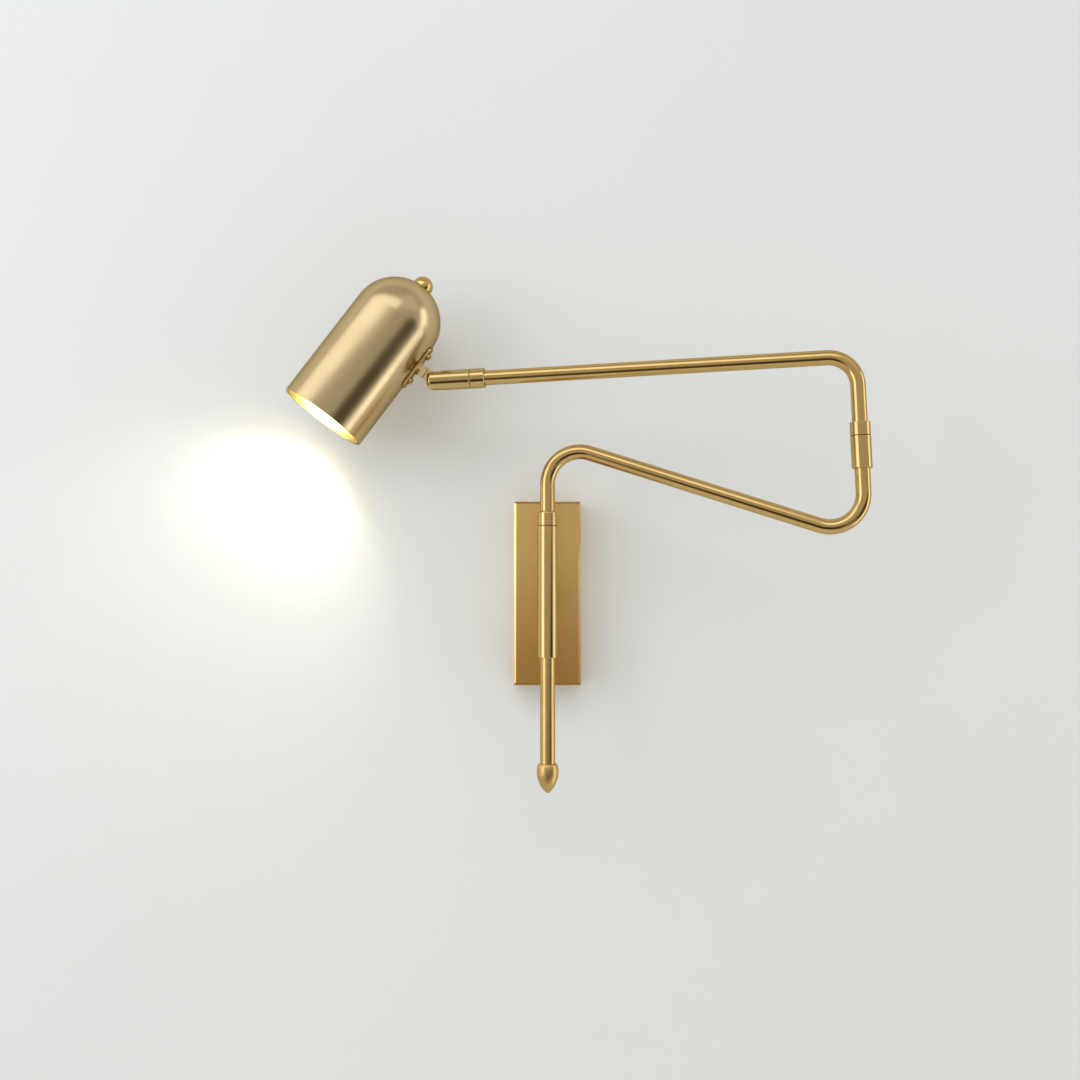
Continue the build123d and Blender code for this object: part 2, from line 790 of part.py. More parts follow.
swivel_washer = ring(
    swivel_frame, spigot_run_radius + seat_gap, seam_radius, barrel_foot - seam_width, barrel_foot
)
save(swivel_washer, "swivel_washer")

# Pivot: a blind stub pin in the front cheek and a slotted pivot screw in the rear cheek
with BuildPart() as pivot_pin:
    with BuildSketch(swivel_frame.offset(pivot_end)):
        Circle(pivot_radius)
    extrude(amount=pivot_depth - pivot_end)
save(pivot_pin, "pivot_pin")

pivot_seat = placed(swivel_frame, shift=(0, 0, grub_recess - sleeve_radius), turn=(0, 180, 0))
with BuildPart() as pivot_screw:
    with BuildSketch(pivot_seat):
        Circle(pivot_radius)
    extrude(amount=-(sleeve_radius - grub_recess - pivot_end))
    with BuildSketch(pivot_seat):
        Rectangle(pivot_diameter, pivot_slot_width)
    extrude(amount=-pivot_slot_width, mode=Mode.SUBTRACT)
save(pivot_screw, "pivot_screw")

with BuildPart() as fork_washers:
    for side in (1, -1):
        with BuildSketch(swivel_frame.offset(side * tongue_half)):
            Circle(fork_washer_diameter / 2)
            Circle(pivot_radius + fit_clearance, mode=Mode.SUBTRACT)
        extrude(amount=side * fork_washer)
save(fork_washers, "fork_washers")

swivel_cable = ring(swivel_frame, 0, cable_radius, spigot_foot, fork_floor)
save(swivel_cable, "swivel_cable")

# Knuckle: tongue, block and threaded stud in one piece, bored for the cable
strip_face = shade_distance - shade_radius - strip_thickness
block_end = strip_face - knuckle_nut_height
nut_corner = knuckle_nut_flats / sqrt(3)
lock_nut_seat = shade_distance - sqrt(shade_bore**2 - nut_corner**2)
stud_end = lock_nut_seat + lock_nut_height + part_gap
with BuildPart() as knuckle:
    with BuildSketch(head_frame):
        Circle(tongue_width / 2)
        with Locations((block_end / 2, 0)):
            Rectangle(block_end, tongue_width)
    extrude(amount=tongue_half, both=True)
    with BuildSketch(head_frame) as block_outline:
        with Locations(((block_start + block_end) / 2, 0)):
            Rectangle(block_end - block_start, block_width)
        chamfer(block_outline.vertices().group_by(Axis.X)[0], block_chamfer)
    extrude(amount=block_thickness / 2, both=True)
    with BuildSketch(placed(head_frame, shift=(block_end, 0, 0), turn=(0, 90, 0))):
        Circle(stud_diameter / 2)
    extrude(amount=stud_end - block_end)
    with BuildSketch(placed(head_frame, shift=(-tongue_width, 0, 0), turn=(0, 90, 0))):
        Circle(cable_hole)
    extrude(amount=tongue_width + stud_end, mode=Mode.SUBTRACT)
    with BuildSketch(head_frame):
        Circle(pivot_radius + run_clearance)
    extrude(amount=tongue_half, both=True, mode=Mode.SUBTRACT)
save(knuckle, "knuckle")

knuckle_nut_seat = placed(head_frame, shift=(block_end, 0, 0), turn=(0, 90, 0))
stud_hole = stud_diameter / 2 + fit_clearance
knuckle_nut = hex_nut(knuckle_nut_seat, knuckle_nut_flats, knuckle_nut_height, stud_hole)
save(knuckle_nut, "knuckle_nut")
lock_seat = placed(head_frame, shift=(lock_nut_seat, 0, 0), turn=(0, 90, 0))
knuckle_lock_nut = hex_nut(lock_seat, knuckle_nut_flats, lock_nut_height, stud_hole)
save(knuckle_lock_nut, "knuckle_lock_nut")

# Fixing strip, hollowed to lie on the shade, with its two screws and nuts
strip_seats = [
    placed(
        shade_frame,
        shift=(shade_radius + strip_thickness, strip_height + side * strip_screw_spacing / 2, 0),
        turn=(0, 90, 0),
    )
    for side in (1, -1)
]
strip_middle = placed(shade_frame, shift=(shade_radius, strip_height, 0), turn=(0, 90, 0))
strip_sink = shade_radius - sqrt(shade_radius**2 - (strip_width / 2) ** 2)
with BuildPart() as fixing_strip:
    with BuildSketch(strip_middle.offset(-strip_sink)):
        RectangleRounded(strip_width, strip_length, strip_corner)
    extrude(amount=strip_sink + strip_thickness)
    top_face = fixing_strip.faces().sort_by(Axis(strip_middle.origin, strip_middle.z_dir))[-1]
    fillet(top_face.edges(), strip_edge)
    with BuildSketch(placed(shade_frame, turn=(-90, 0, 0))):
        Circle(shade_radius + fit_clearance)
    extrude(amount=shade_length, mode=Mode.SUBTRACT)
    with BuildSketch(strip_middle):
        Circle(stud_hole)
        with GridLocations(0, strip_screw_spacing, 1, 2):
            Circle(strip_screw_diameter / 2 + fit_clearance)
    extrude(amount=strip_thickness, both=True, mode=Mode.SUBTRACT)
save(fixing_strip, "fixing_strip")

strip_nut_flats = nut_flats_ratio * strip_screw_diameter
strip_nut_height = nut_height_ratio * strip_screw_diameter
strip_nut_radius = sqrt(shade_bore**2 - (strip_nut_flats / sqrt(3)) ** 2)
strip_screw_length = shade_radius + strip_thickness - strip_nut_radius + strip_nut_height + part_gap
with BuildPart() as strip_screws:
    for seat in strip_seats:
        add(pan_screw(seat, strip_screw_diameter, strip_screw_length, tall_head_ratio).part)
save(strip_screws, "strip_screws")

with BuildPart() as strip_nuts:
    for seat in strip_seats:
        inner_seat = seat.offset(strip_nut_radius - shade_radius - strip_thickness - strip_nut_height)
        nut_hole = strip_screw_diameter / 2 + fit_clearance
        add(hex_nut(inner_seat, strip_nut_flats, strip_nut_height, nut_hole).part)
save(strip_nuts, "strip_nuts")

# Shade: a tube with a round dome, drilled for the strip and for the stud at its top
with BuildPart() as shade:
    with BuildSketch(shade_frame):
        with BuildLine():
            Line((shade_bore, shade_side), (shade_bore, 0))
            Line((shade_bore, 0), (shade_radius, 0))
            Line((shade_radius, 0), (shade_radius, shade_side))
            CenterArc((0, shade_side), shade_radius, 0, 90)
            Line((0, shade_length), (0, shade_length - shade_wall))
            CenterArc((0, shade_side), shade_bore, 0, 90)
        make_face()
    revolve(axis=axis_of(shade_frame))
    fillet(shade.edges().group_by(axis_of(shade_frame))[0], min(shade_rim, shade_wall / 3))
    with BuildSketch(strip_middle):
        Circle(stud_hole)
        with GridLocations(0, strip_screw_spacing, 1, 2):
            Circle(strip_screw_diameter / 2 + fit_clearance)
    extrude(amount=-2 * shade_wall, mode=Mode.SUBTRACT)
    with BuildSketch(placed(shade_frame, shift=(0, shade_side, 0), turn=(-90, 0, 0))):
        Circle(lamp_stud_diameter / 2 + fit_clearance)
    extrude(amount=shade_length, mode=Mode.SUBTRACT)
save(shade, "shade")

# Domed cap nut on the top of the shade, with the stud and nut that hang the lampholder
cap_radius = cap_diameter / 2
cap_seat = shade_side + sqrt(shade_radius**2 - cap_radius**2)
cap_top = cap_seat + cap_side + cap_radius
cap_thread_top = shade_length + cap_thread_depth
with BuildPart() as cap_nut:
    with BuildSketch(shade_frame):
        with BuildLine():
            Polyline((0, cap_top), (0, cap_seat), (cap_radius, cap_seat), (cap_radius, cap_seat + cap_side))
            CenterArc((0, cap_seat + cap_side), cap_radius, 0, 90)
        make_face()
    revolve(axis=axis_of(shade_frame))
    with BuildSketch(placed(shade_frame, turn=(-90, 0, 0))):
        Circle(lamp_stud_diameter / 2 + fit_clearance)
    extrude(amount=cap_thread_top, mode=Mode.SUBTRACT)
    with BuildSketch(shade_frame):
        with BuildLine():
            CenterArc((0, shade_side), shade_radius + fit_clearance, -90, 180)
            Line((0, shade_length + fit_clearance), (0, shade_side - shade_radius - fit_clearance))
        make_face()
    revolve(axis=axis_of(shade_frame), mode=Mode.SUBTRACT)
save(cap_nut, "cap_nut")

lamp_stud_radius = lamp_stud_diameter / 2
lamp_stud_bottom = holder_top - holder_wall
with BuildPart() as lamp_stud:
    with BuildSketch(placed(shade_frame, shift=(0, lamp_stud_bottom, 0), turn=(-90, 0, 0))):
        Circle(lamp_stud_radius)
    extrude(amount=cap_thread_top - seat_gap - lamp_stud_bottom)
save(lamp_stud, "lamp_stud")

stud_nut_top = shade_side + sqrt(shade_bore**2 - stud_nut_flats**2 / 3)
stud_nut_seat = placed(shade_frame, shift=(0, stud_nut_top - stud_nut_height, 0), turn=(-90, 0, 0))
stud_nut = hex_nut(stud_nut_seat, stud_nut_flats, stud_nut_height, lamp_stud_radius + fit_clearance)
save(stud_nut, "stud_nut")

# Lampholder: a cap on the stud and a threaded shell below it, with the centre contact between them
holder_radius = holder_diameter / 2
holder_top_radius = holder_top_diameter / 2
holder_mouth_radius = holder_mouth_diameter / 2
bulb_thread_radius = bulb_thread_diameter / 2
with BuildPart() as lampholder_cap:
    with BuildSketch(shade_frame):
        with BuildLine():
            Polyline(
                (lamp_stud_radius + fit_clearance, holder_top),
                (holder_top_radius, holder_top),
                (holder_radius, holder_split + holder_floor),
                (holder_radius, holder_split),
                (holder_radius - holder_wall, holder_split),
                (holder_top_radius - holder_wall, holder_top - holder_wall),
                (lamp_stud_radius + fit_clearance, holder_top - holder_wall),
                close=True,
            )
        make_face()
    revolve(axis=axis_of(shade_frame))
save(lampholder_cap, "lampholder_cap")

shell_floor = holder_split - holder_floor
contact_low = shell_floor - contact_height
bulb_cap_top = contact_low - contact_height
bulb_cap_bottom = bulb_cap_top - bulb_thread_pitch * bulb_thread_turns
with BuildPart() as lampholder_shell:
    with BuildSketch(shade_frame):
        with BuildLine():
            Polyline(
                (contact_diameter / 2 + fit_clearance, holder_split),
                (holder_radius, holder_split),
                (holder_mouth_radius, bulb_cap_bottom),
                (bulb_thread_radius + seat_gap, bulb_cap_bottom),
                (bulb_thread_radius + seat_gap, shell_floor),
                (contact_diameter / 2 + fit_clearance, shell_floor),
                close=True,
            )
        make_face()
    revolve(axis=axis_of(shade_frame))
save(lampholder_shell, "lampholder_shell")

centre_contact = ring(shade_frame, 0, contact_diameter / 2, contact_low, holder_split)
save(centre_contact, "centre_contact")

# Bulb: a threaded metal cap with its tip, and a round glass globe
bulb_thread_root = bulb_thread_radius - bulb_thread_depth
thread_flank = [
    (bulb_thread_root if step % 2 else bulb_thread_radius, bulb_cap_top - step * bulb_thread_pitch / 2)
    for step in range(1, 2 * bulb_thread_turns)
]
with BuildPart() as bulb_cap:
    with BuildSketch(shade_frame):
        with BuildLine():
            Polyline(
                (0, bulb_cap_bottom),
                (0, contact_low),
                (contact_diameter / 2, contact_low),
                (contact_diameter / 2, bulb_cap_top),
                (bulb_thread_root, bulb_cap_top),
                *thread_flank,
                (bulb_thread_radius, bulb_cap_bottom),
                close=True,
            )
        make_face()
    revolve(axis=axis_of(shade_frame))
save(bulb_cap, "bulb_cap")

globe_radius = globe_diameter / 2
globe_inner = globe_radius - globe_wall
neck_radius = globe_neck_diameter / 2
neck_inner = neck_radius - globe_wall
neck_rise = globe_height + sqrt(globe_radius**2 - neck_radius**2)
neck_rise_inner = globe_height + sqrt(globe_inner**2 - neck_inner**2)
cap_end_radius = bulb_thread_root
with BuildPart() as bulb_globe:
    with BuildSketch(shade_frame):
        with BuildLine():
            ThreePointArc(
                (0, globe_height - globe_radius), (globe_radius, globe_height), (neck_radius, neck_rise)
            )
            Polyline(
                (neck_radius, neck_rise),
                (cap_end_radius, bulb_cap_bottom),
                (cap_end_radius - globe_wall, bulb_cap_bottom),
                (neck_inner, neck_rise_inner),
            )
            ThreePointArc(
                (neck_inner, neck_rise_inner), (globe_inner, globe_height), (0, globe_height - globe_inner)
            )
            Line((0, globe_height - globe_inner), (0, globe_height - globe_radius))
        make_face()
    revolve(axis=axis_of(shade_frame))
save(bulb_globe, "bulb_globe")

# Cable in the head: through the knuckle, up beside the lampholder and into its cap
cable_entry_height = holder_split + holder_floor / 2
head_cable = cable_run(
    shade_frame,
    [
        (shade_distance + tongue_width / 2, strip_height),
        (head_cable_offset, strip_height),
        (head_cable_offset, cable_entry_height),
        (holder_radius, cable_entry_height),
    ],
    [head_cable_bend, head_cable_bend],
)
save(head_cable, "head_cable")
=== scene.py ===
import json
import math
import bpy
from mathutils import Matrix, Vector


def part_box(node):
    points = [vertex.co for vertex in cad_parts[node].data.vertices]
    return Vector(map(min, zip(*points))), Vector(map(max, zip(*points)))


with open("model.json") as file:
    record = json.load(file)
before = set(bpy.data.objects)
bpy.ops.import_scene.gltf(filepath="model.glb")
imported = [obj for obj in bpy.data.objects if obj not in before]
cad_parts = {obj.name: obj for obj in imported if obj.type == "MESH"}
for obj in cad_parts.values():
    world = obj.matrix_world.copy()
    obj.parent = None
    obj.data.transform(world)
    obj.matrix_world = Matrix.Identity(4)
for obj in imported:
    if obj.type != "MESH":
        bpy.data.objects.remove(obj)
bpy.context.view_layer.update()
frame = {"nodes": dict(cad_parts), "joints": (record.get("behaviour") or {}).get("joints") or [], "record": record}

bpy.ops.object.select_all(action="DESELECT")
scene = bpy.context.scene
scene.view_settings.view_transform = "Standard"
mm = 0.001


# places and directions read from the frame
def boxCentre(node):
    low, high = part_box(node)
    return (Vector(low) + Vector(high)) / 2


def jointAxis(name):
    return Vector(next(j for j in frame["joints"] if j["name"] == name)["axis"]).normalized()


up = Vector((0, 0, 1))
legAxis = jointAxis("elbow_swing")
runAxis = jointAxis("barrel_roll")
shadeAxis = (boxCentre("lamp_stud") - boxCentre("centre_contact")).normalized()
lowerAxis = (boxCentre("elbow_sleeve") - boxCentre("shoulder_collar")).normalized()


# small helpers for building node trees
def addNode(tree, kind, **values):
    node = tree.nodes.new(kind)
    for name, value in values.items():
        setattr(node, name, value)
    return node


def fill(tree, socket, value):
    if hasattr(value, "is_output"):
        tree.links.new(value, socket)
    else:
        socket.default_value = value


def calc(tree, operation, first, second=0.0, clamp=False):
    node = addNode(tree, "ShaderNodeMath", operation=operation, use_clamp=clamp)
    fill(tree, node.inputs[0], first)
    fill(tree, node.inputs[1], second)
    return node.outputs[0]


def vectorCalc(tree, operation, first, second, output="Vector"):
    node = addNode(tree, "ShaderNodeVectorMath", operation=operation)
    fill(tree, node.inputs[0], first)
    fill(tree, node.inputs["Scale" if operation == "SCALE" else 1], second)
    return node.outputs[output]


def smoothRange(tree, value, fromLow, fromHigh, toLow=0.0, toHigh=1.0):
    node = addNode(tree, "ShaderNodeMapRange", interpolation_type="SMOOTHSTEP")
    names = ("Value", "From Min", "From Max", "To Min", "To Max")
    for name, number in zip(names, (value, fromLow, fromHigh, toLow, toHigh)):
        fill(tree, node.inputs[name], number)
    return node.outputs["Result"]


def mixColour(tree, factor, first, second):
    node = addNode(tree, "ShaderNodeMix", data_type="RGBA")
    fill(tree, node.inputs[0], factor)
    for socket, value in zip([s for s in node.inputs if s.type == "RGBA"], (first, second)):
        fill(tree, socket, value)
    return next(s for s in node.outputs if s.type == "RGBA")


def splitPlace(tree, place):
    node = addNode(tree, "ShaderNodeSeparateXYZ")
    fill(tree, node.inputs[0], place)
    return node.outputs


def rgb(red, green, blue):
    return (red, green, blue, 1.0)


def paler(colour, times):
    return rgb(*(min(1.0, times * c) for c in colour[:3]))


def newGroup(name, inputs, outputs):
    group = bpy.data.node_groups.new(name, "ShaderNodeTree")
    for label, kind in inputs:
        group.interface.new_socket(label, in_out="INPUT", socket_type=kind)
    for label in outputs:
        group.interface.new_socket(label, in_out="OUTPUT", socket_type="NodeSocketFloat")
    return group, addNode(group, "NodeGroupInput").outputs, addNode(group, "NodeGroupOutput").inputs


def placeGroup(tree, group, **values):
    node = addNode(tree, "ShaderNodeGroup", node_tree=group)
    for name, value in values.items():
        fill(tree, node.inputs[name], value)
    return node.outputs


grainLook = dict(detail=3.0, fleck=(0.56, 0.72))


# grain drawn by a brush or a lathe tool: long along one direction, fine across it
def makeGrainGroup():
    group, given, result = newGroup(
        "brushGrain",
        [("Vector", "NodeSocketVector"), ("Direction", "NodeSocketVector"),
         ("Along", "NodeSocketFloat"), ("Across", "NodeSocketFloat")],
        ["Line", "Fleck"])
    distance = vectorCalc(group, "DOT_PRODUCT", given["Vector"], given["Direction"], "Value")
    alongPart = vectorCalc(group, "SCALE", given["Direction"], distance)
    acrossPart = vectorCalc(group, "SUBTRACT", given["Vector"], alongPart)
    alongPart = vectorCalc(group, "SCALE", alongPart, given["Along"])
    acrossPart = vectorCalc(group, "SCALE", acrossPart, given["Across"])
    noise = addNode(group, "ShaderNodeTexNoise")
    noise.inputs["Scale"].default_value = 1.0
    noise.inputs["Detail"].default_value = grainLook["detail"]
    fill(group, noise.inputs["Vector"], vectorCalc(group, "ADD", alongPart, acrossPart))
    fill(group, result["Line"], noise.outputs["Fac"])
    fill(group, result["Fleck"], smoothRange(group, noise.outputs["Fac"], *grainLook["fleck"]))
    return group


patchLook = dict(detail=4.0, roughness=0.6, patch=(0.32, 0.68),
                 fineTimes=40.0, fineDetail=2.0, speck=(0.62, 0.74))


# slow patches left by hands, cloths and lacquer, and fine specks
def makePatchGroup():
    group, given, result = newGroup(
        "handPatches", [("Vector", "NodeSocketVector"), ("Scale", "NodeSocketFloat")], ["Patch", "Speck"])
    slow = addNode(group, "ShaderNodeTexNoise")
    slow.inputs["Detail"].default_value = patchLook["detail"]
    slow.inputs["Roughness"].default_value = patchLook["roughness"]
    fill(group, slow.inputs["Vector"], given["Vector"])
    fill(group, slow.inputs["Scale"], given["Scale"])
    fine = addNode(group, "ShaderNodeTexNoise")
    fine.inputs["Detail"].default_value = patchLook["fineDetail"]
    fill(group, fine.inputs["Vector"], given["Vector"])
    fill(group, fine.inputs["Scale"], calc(group, "MULTIPLY", given["Scale"], patchLook["fineTimes"]))
    fill(group, result["Patch"], smoothRange(group, slow.outputs["Fac"], *patchLook["patch"]))
    fill(group, result["Speck"], smoothRange(group, fine.outputs["Fac"], *patchLook["speck"]))
    return group


edgeLook = dict(samples=6, match=(0.995, 0.93))


# bright line where two faces meet: partly rubbed wear, partly painted highlight
def makeEdgeGroup():
    group, given, result = newGroup("edgeRubAndGlint", [("Width", "NodeSocketFloat")], ["Edge"])
    bevel = addNode(group, "ShaderNodeBevel", samples=edgeLook["samples"])
    fill(group, bevel.inputs["Radius"], given["Width"])
    normal = addNode(group, "ShaderNodeNewGeometry").outputs["Normal"]
    match = vectorCalc(group, "DOT_PRODUCT", bevel.outputs["Normal"], normal, "Value")
    fill(group, result["Edge"], smoothRange(group, match, *edgeLook["match"]))
    return group


grainGroup, patchGroup, edgeGroup = makeGrainGroup(), makePatchGroup(), makeEdgeGroup()


def newMaterial(name):
    material = bpy.data.materials.new(name)
    material.use_nodes = True
    tree = material.node_tree
    shader = next(n for n in tree.nodes if n.type == "BSDF_PRINCIPLED")
    place = addNode(tree, "ShaderNodeTexCoord").outputs["Object"]
    return material, tree, shader, place


def addBump(tree, shader, height, distance, strength):
    bump = addNode(tree, "ShaderNodeBump")
    bump.inputs["Distance"].default_value = distance
    bump.inputs["Strength"].default_value = strength
    fill(tree, bump.inputs["Height"], height)
    fill(tree, shader.inputs["Normal"], bump.outputs["Normal"])


# one brass for the whole lamp, with a finish of its own for each kind of piece
brassFinish = {
    "shade": dict(colour=rgb(0.63, 0.478, 0.256), deep=rgb(0.565, 0.418, 0.212), roughness=0.24, spread=0.035,
                  along=5200.0, across=40.0, depth=0.02 * mm, patch=26.0, edge=0.5),
    "rod": dict(colour=rgb(0.66, 0.44, 0.168), deep=rgb(0.58, 0.375, 0.132), roughness=0.17, spread=0.04,
                along=120.0, across=2600.0, depth=0.006 * mm, patch=42.0, edge=0.5),
    "acorn": dict(colour=rgb(0.68, 0.45, 0.168), deep=rgb(0.58, 0.37, 0.125), roughness=0.38, spread=0.04,
                  along=5200.0, across=60.0, depth=0.012 * mm, patch=60.0, edge=0.5),
    "turned": dict(colour=rgb(0.66, 0.447, 0.178), deep=rgb(0.57, 0.375, 0.138), roughness=0.13, spread=0.03,
                   along=5200.0, across=60.0, depth=0.012 * mm, patch=60.0, edge=0.6),
    "barrel": dict(colour=rgb(0.60, 0.43, 0.176), deep=rgb(0.52, 0.36, 0.137), roughness=0.13, spread=0.03,
                   along=5200.0, across=60.0, depth=0.012 * mm, patch=60.0, edge=0.6),
    "plate": dict(colour=rgb(0.845, 0.572, 0.206), deep=rgb(0.752, 0.492, 0.17), roughness=0.4, spread=0.06,
                  along=22.0, across=3200.0, depth=0.03 * mm, patch=18.0, edge=0.6),
    "fitting": dict(colour=rgb(0.66, 0.45, 0.178), deep=rgb(0.30, 0.165, 0.045), roughness=0.13, spread=0.04,
                    along=900.0, across=900.0, depth=0.015 * mm, patch=150.0, edge=1.0),
    "block": dict(colour=rgb(0.84, 0.66, 0.36), deep=rgb(0.50, 0.33, 0.12), roughness=0.2, spread=0.05,
                  along=900.0, across=900.0, depth=0.015 * mm, patch=120.0, edge=1.0),
    "knob": dict(colour=rgb(0.66, 0.45, 0.16), deep=rgb(0.56, 0.365, 0.12), roughness=0.12, spread=0.03,
                 along=3000.0, across=60.0, depth=0.01 * mm, patch=90.0, edge=0.3),
}
brassLook = dict(patch=0.45, fleck=0.35, rubAndGlint=1.18, edge=0.5 * mm, wander=2.4, middle=0.5, smoothest=0.06,
                 bump=0.4, outline=rgb(0.55, 0.51, 0.42))  # outline: darker towards the edge of a round piece


def brushLines(tree, place, direction, finish):
    grain = placeGroup(tree, grainGroup, Vector=place, Direction=tuple(direction),
                       Along=finish["along"], Across=finish["across"])
    return grain["Line"], grain["Fleck"]


rodLegs = dict(elbowMiddle=boxCentre("elbow_sleeve").x, run=16 * mm, leg=6 * mm)  # where the rod bends
rodFoot = dict(high=-28 * mm, low=-50 * mm, rise=0.11)  # more matt under the wall sleeve


# 1 on the rod's upright legs: the one at the elbow, and on the lower arm the one in the wall sleeve too
def rodLegShare(tree, across, isLower):
    fromElbow = calc(tree, "SUBTRACT", rodLegs["elbowMiddle"], across)
    share = smoothRange(tree, fromElbow, rodLegs["run"], rodLegs["leg"])
    if isLower:
        share = calc(tree, "MAXIMUM", share, smoothRange(tree, across, rodLegs["run"], rodLegs["leg"]))
    return share


plateLowShade = dict(span=(35 * mm, -80 * mm), colour=rgb(0.62, 0.345, 0.10))  # painted shade: deeper amber low on the plate, darker towards its foot
# polished bevel round the plate's front, with painted shade: a brown line along its foot and half as much along
# its head
plateBevelAndShade = dict(front=(-24.98 * mm, -24.90 * mm), back=(-23.5 * mm, -23.9 * mm), roughness=0.16,
                foot=(-74.8 * mm, -75.4 * mm), head=(74.8 * mm, 75.4 * mm), headShare=0.5,
                colour=rgb(0.36, 0.18, 0.04))


def plateTones(tree, spot, colour, roughness):
    # painted shade: the plate's colour turns darker amber towards its foot
    colour = mixColour(tree, smoothRange(tree, spot["Z"], *plateLowShade["span"]), colour, plateLowShade["colour"])
    foot = smoothRange(tree, spot["Z"], *plateBevelAndShade["foot"])
    head = smoothRange(tree, spot["Z"], *plateBevelAndShade["head"], 0.0, plateBevelAndShade["headShare"])
    onBevel = smoothRange(tree, spot["Y"], *plateBevelAndShade["back"])
    # painted shade line on the bevel, full along the foot and half along the head
    bevelShade = calc(tree, "MULTIPLY", calc(tree, "ADD", foot, head), onBevel)
    colour = mixColour(tree, bevelShade, colour, plateBevelAndShade["colour"])
    return colour, smoothRange(tree, spot["Y"], *plateBevelAndShade["front"], roughness, plateBevelAndShade["roughness"])


# pale inside of the shade, with painted shade: a deeper, darker yellow just inside its opening
insideLook = dict(colour=rgb(0.77, 0.70, 0.47), rim=rgb(0.52, 0.47, 0.27), mouthShade=(11.0 * mm, 1.0 * mm),
                  opening=(-183.596 * mm, -63.333 * mm, 142.210 * mm), straight=100.0 * mm,
                  wall=(36.8 * mm, 36.3 * mm))


def shadeHeight(tree, place):
    offset = vectorCalc(tree, "SUBTRACT", place, insideLook["opening"])
    return offset, vectorCalc(tree, "DOT_PRODUCT", offset, tuple(shadeAxis), "Value")


# the inner face is found by the distance from the shade's axis, and in the dome from the dome's middle
def shadeTones(tree, place, colour):
    offset, height = shadeHeight(tree, place)
    onAxis = calc(tree, "MINIMUM", height, insideLook["straight"])
    nearest = vectorCalc(tree, "SCALE", tuple(shadeAxis), onAxis)
    inside = smoothRange(tree, vectorCalc(tree, "DISTANCE", offset, nearest, "Value"), *insideLook["wall"])
    # painted shade: darker yellow fading in just inside the opening
    mouthShade = smoothRange(tree, height, *insideLook["mouthShade"])
    return mixColour(tree, inside, colour, mixColour(tree, mouthShade, insideLook["colour"], insideLook["rim"]))


def makeBrass(name, kind, direction):
    finish = brassFinish[kind]
    material, tree, shader, place = newMaterial(name)
    spot = splitPlace(tree, place)
    line, fleck = brushLines(tree, place, direction, finish)
    if kind == "rod":  # the grain turns upright on the legs
        legs = rodLegShare(tree, spot["X"], direction is lowerAxis)
        legLine, legFleck = brushLines(tree, place, legAxis, finish)
        line = smoothRange(tree, legs, 0.0, 1.0, line, legLine)
        fleck = smoothRange(tree, legs, 0.0, 1.0, fleck, legFleck)
    patch = placeGroup(tree, patchGroup, Vector=place, Scale=finish["patch"])["Patch"]
    edge = placeGroup(tree, edgeGroup, Width=brassLook["edge"])["Edge"]
    tone = calc(tree, "ADD", calc(tree, "MULTIPLY", patch, brassLook["patch"]),
                calc(tree, "MULTIPLY", fleck, brassLook["fleck"]), clamp=True)
    colour = mixColour(tree, tone, finish["colour"], finish["deep"])
    # paler edge line: partly rubbed wear, partly painted highlight
    rubAndGlint = paler(finish["colour"], brassLook["rubAndGlint"])
    colour = mixColour(tree, calc(tree, "MULTIPLY", edge, finish["edge"]), colour, rubAndGlint)
    rough = finish["roughness"]
    if kind == "plate":
        colour, rough = plateTones(tree, spot, colour, rough)
    elif kind == "rod":
        rough = smoothRange(tree, spot["Z"], rodFoot["high"], rodFoot["low"], rough, rough + rodFoot["rise"])
    elif kind == "shade":
        colour = shadeTones(tree, place, colour)
    fill(tree, shader.inputs["Base Color"], colour)
    shader.inputs["Metallic"].default_value = 1.0
    shader.inputs["Specular Tint"].default_value = brassLook["outline"]
    for pattern, times in ((line, brassLook["wander"]), (patch, 1.0)):
        fromMiddle = calc(tree, "SUBTRACT", pattern, brassLook["middle"])
        rough = calc(tree, "ADD", calc(tree, "MULTIPLY", fromMiddle, times * finish["spread"]), rough)
    fill(tree, shader.inputs["Roughness"], calc(tree, "MAXIMUM", rough, brassLook["smoothest"]))
    addBump(tree, shader, line, finish["depth"], brassLook["bump"])
    return material


steelFinish = {
    "zincSteel": dict(colour=rgb(0.60, 0.60, 0.58), deep=rgb(0.48, 0.48, 0.47), roughness=0.3),
    "blackSteel": dict(colour=rgb(0.07, 0.065, 0.06), deep=rgb(0.04, 0.04, 0.035), roughness=0.35),
    "bulbMetal": dict(colour=rgb(0.75, 0.75, 0.74), deep=rgb(0.62, 0.62, 0.61), roughness=0.28),
}
steelLook = dict(patch=80.0, spread=0.12, edge=0.4 * mm, edgeShare=0.6, rubAndGlint=1.3)


def makeSteel(name):
    finish = steelFinish[name]
    material, tree, shader, place = newMaterial(name)
    patch = placeGroup(tree, patchGroup, Vector=place, Scale=steelLook["patch"])["Patch"]
    edge = placeGroup(tree, edgeGroup, Width=steelLook["edge"])["Edge"]
    colour = mixColour(tree, patch, finish["colour"], finish["deep"])
    # paler edge line: partly rubbed wear, partly painted highlight
    rubAndGlint = paler(finish["colour"], steelLook["rubAndGlint"])
    colour = mixColour(tree, calc(tree, "MULTIPLY", edge, steelLook["edgeShare"]), colour, rubAndGlint)
    fill(tree, shader.inputs["Base Color"], colour)
    shader.inputs["Metallic"].default_value = 1.0
    smooth = finish["roughness"]
    rough = smoothRange(tree, patch, 0, 1, smooth, smooth + steelLook["spread"])
    fill(tree, shader.inputs["Roughness"], rough)
    return material


